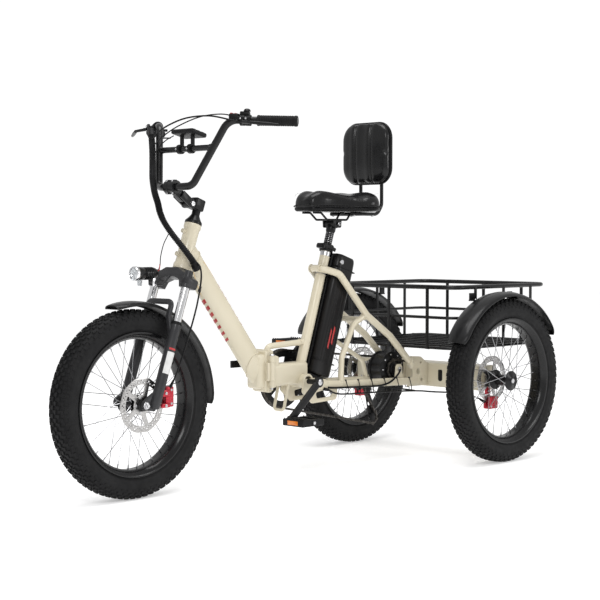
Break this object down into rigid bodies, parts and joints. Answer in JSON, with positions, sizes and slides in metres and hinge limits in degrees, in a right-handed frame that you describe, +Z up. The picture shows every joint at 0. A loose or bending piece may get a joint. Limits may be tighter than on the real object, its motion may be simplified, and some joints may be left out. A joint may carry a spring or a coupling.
{
  "type": "folding electric tricycle",
  "caption": "Folding fat-tyre electric tricycle with a step-through frame, sprung front fork, padded seat with backrest, battery, and a wire basket between its rear wheels.",
  "frame": {"origin": "on the ground, under the middle of the bounding box", "axes": "+X forwards, +Y to the rider's left, +Z up"},
  "size_m": [1.9375, 0.7774, 1.14],
  "materials": {
    "cream_paint": "satin",
    "black_paint": "satin",
    "black_plastic": "matte",
    "vinyl": "glossy vinyl",
    "tyre": "matte",
    "grip": "matte",
    "cable": "satin",
    "steel": "brushed",
    "dark_steel": "oiled",
    "red_anodised": "anodised"
  },
  "bodies": {
    "frame": {"rear_frame": "cream_paint", "axle_beam": "cream_paint", "basket": "black_paint", "rear_left_fender": "black_paint", "rear_right_fender": "black_paint", "rear_left_calliper": "red_anodised", "rear_right_calliper": "red_anodised", "derailleur": "black_paint", "chain": "dark_steel", "seat_clamp": "black_paint", "rear_brake_hose": "cable"},
    "battery": {"battery": "black_plastic"},
    "seat_clamp_lever": {"seat_clamp_lever": "black_paint"},
    "seatpost": {"seatpost": "black_paint"},
    "seat": {"saddle_frame": "black_paint", "saddle": "vinyl", "backrest_frame": "black_paint", "backrest_pad": "vinyl"},
    "cranks": {"crankset": "black_paint", "crank_arm_left": "black_paint"},
    "pedal_left": {"pedal_left": "black_plastic"},
    "pedal_right": {"pedal_right": "black_plastic"},
    "cassette": {"cassette": "dark_steel"},
    "motor": {"motor_hub": "black_paint"},
    "differential": {"differential": "steel"},
    "front": {"front_frame": "cream_paint", "hinge_pin": "steel", "cable_loom_lower": "cable"},
    "latch_lever": {"latch_lever": "black_plastic"},
    "steerer": {"fork_upper": "black_paint", "stem_base": "black_paint"},
    "headlight": {"headlight": "black_plastic"},
    "bars": {"stem_arm": "black_paint", "handlebar": "black_paint", "grip_left": "grip", "grip_right": "grip", "left_controls": "black_plastic", "right_controls": "black_plastic", "display": "black_plastic", "cable_loom_upper": "cable"},
    "brake_lever_left": {"brake_lever_left": "black_paint"},
    "brake_lever_right": {"brake_lever_right": "black_paint"},
    "shift_lever": {"shift_lever": "black_plastic"},
    "throttle_lever": {"throttle_lever": "black_plastic"},
    "fork": {"fork_lowers": "black_paint", "front_fender": "black_paint", "front_calliper": "red_anodised", "front_brake_hose": "cable"},
    "front_wheel": {"front_tyre": "tyre", "front_rim": "black_paint", "front_hub": "black_paint", "front_disc": "steel"},
    "rear_left_wheel": {"rear_left_tyre": "tyre", "rear_left_rim": "black_paint", "rear_left_hub": "black_paint", "rear_left_disc": "steel"},
    "rear_right_wheel": {"rear_right_tyre": "tyre", "rear_right_rim": "black_paint", "rear_right_hub": "black_paint", "rear_right_disc": "steel"}
  },
  "joints": [
    {"name": "frame_fold", "type": "hinge", "parent": "frame", "child": "front", "pos_m": [0.16575, 0.041, 0.335], "axis": [0, 0, 1], "range_deg": [0, 100]},
    {"name": "latch_lever_swing", "type": "hinge", "parent": "front", "child": "latch_lever", "pos_m": [0.17675, -0.0415, 0.358], "axis": [0, 0, -1], "range_deg": [0, 100]},
    {"name": "steering", "type": "hinge", "parent": "front", "child": "steerer", "pos_m": [0.63753, 0, 0.274], "axis": [-0.3305, 0, 0.9438], "range_deg": [-50, 50]},
    {"name": "stem_angle", "type": "hinge", "parent": "steerer", "child": "bars", "pos_m": [0.47332, 0, 0.85487], "axis": [0, 1, 0], "range_deg": [-20, 20]},
    {"name": "headlight_tilt", "type": "hinge", "parent": "steerer", "child": "headlight", "pos_m": [0.61375, 0, 0.6262], "axis": [0, 1, 0], "range_deg": [-6, 6]},
    {"name": "fork_travel", "type": "slide", "parent": "steerer", "child": "fork", "axis": [-0.3305, 0, 0.9438], "range_m": [0, 0.035], "stiffness_N_per_m": 9000, "springref_m": -0.03},
    {"name": "front_wheel_spin", "type": "hinge", "parent": "fork", "child": "front_wheel", "pos_m": [0.69475, 0, 0.274], "axis": [0, 1, 0], "continuous": true},
    {"name": "rear_left_wheel_spin", "type": "hinge", "parent": "frame", "child": "rear_left_wheel", "pos_m": [-0.62625, 0.344, 0.274], "axis": [0, 1, 0], "continuous": true},
    {"name": "rear_right_wheel_spin", "type": "hinge", "parent": "frame", "child": "rear_right_wheel", "pos_m": [-0.62625, -0.344, 0.274], "axis": [0, 1, 0], "continuous": true},
    {"name": "brake_lever_left_pull", "type": "hinge", "parent": "bars", "child": "brake_lever_left", "pos_m": [0.45769, 0.2188, 1.08825], "axis": [-0.0181, 0.0285, 0.9994], "range_deg": [0, 18], "stiffness_Nm_per_rad": 1.2, "springref_deg": -8.59},
    {"name": "brake_lever_right_pull", "type": "hinge", "parent": "bars", "child": "brake_lever_right", "pos_m": [0.45769, -0.2188, 1.08825], "axis": [0.0181, 0.0285, -0.9994], "range_deg": [0, 18], "stiffness_Nm_per_rad": 1.2, "springref_deg": -8.59},
    {"name": "throttle_press", "type": "hinge", "parent": "bars", "child": "throttle_lever", "pos_m": [0.41234, -0.22028, 1.09339], "axis": [-0.5353, -0.844, -0.0338], "range_deg": [0, 40], "stiffness_Nm_per_rad": 0.15, "springref_deg": -11.46},
    {"name": "shift_lever_press", "type": "hinge", "parent": "bars", "child": "shift_lever", "pos_m": [0.41797, -0.189, 1.06186], "axis": [-0.0181, -0.0285, 0.9994], "range_deg": [0, 25], "stiffness_Nm_per_rad": 0.1, "springref_deg": -5.73},
    {"name": "crank_spin", "type": "hinge", "parent": "frame", "child": "cranks", "pos_m": [0.01375, 0, 0.295], "axis": [0, 1, 0], "continuous": true},
    {"name": "pedal_left_spin", "type": "hinge", "parent": "cranks", "child": "pedal_left", "pos_m": [0.13979, 0.153, 0.18544], "axis": [0, 1, 0], "continuous": true},
    {"name": "pedal_right_spin", "type": "hinge", "parent": "cranks", "child": "pedal_right", "pos_m": [-0.11229, -0.153, 0.40456], "axis": [0, 1, 0], "continuous": true},
    {"name": "cassette_spin", "type": "hinge", "parent": "frame", "child": "cassette", "pos_m": [-0.43125, 0, 0.304], "axis": [0, 1, 0], "continuous": true},
    {"name": "motor_spin", "type": "hinge", "parent": "frame", "child": "motor", "pos_m": [-0.43125, 0, 0.304], "axis": [0, 1, 0], "continuous": true},
    {"name": "differential_spin", "type": "hinge", "parent": "frame", "child": "differential", "pos_m": [-0.62625, 0, 0.274], "axis": [0, 1, 0], "continuous": true},
    {"name": "seatpost_height", "type": "slide", "parent": "frame", "child": "seatpost", "axis": [-0.3107, 0, 0.9505], "range_m": [-0.035, 0.1]},
    {"name": "saddle_tilt", "type": "hinge", "parent": "seatpost", "child": "seat", "pos_m": [-0.15091, 0, 0.79877], "axis": [0, 1, 0], "range_deg": [-6, 6]},
    {"name": "seat_clamp_lever_swing", "type": "hinge", "parent": "frame", "child": "seat_clamp_lever", "pos_m": [-0.09617, 0.0195, 0.72787], "axis": [0.3107, 0, -0.9505], "range_deg": [0, 90]},
    {"name": "battery_slide", "type": "slide", "parent": "frame", "child": "battery", "axis": [-0.3107, 0, 0.9505], "range_m": [0, 0.05]}
  ],
  "couplings": [
    {"joint": "cassette_spin", "follows": "crank_spin", "ratio": 2.5},
    {"joint": "differential_spin", "follows": "motor_spin", "ratio": 0.97}
  ]
}
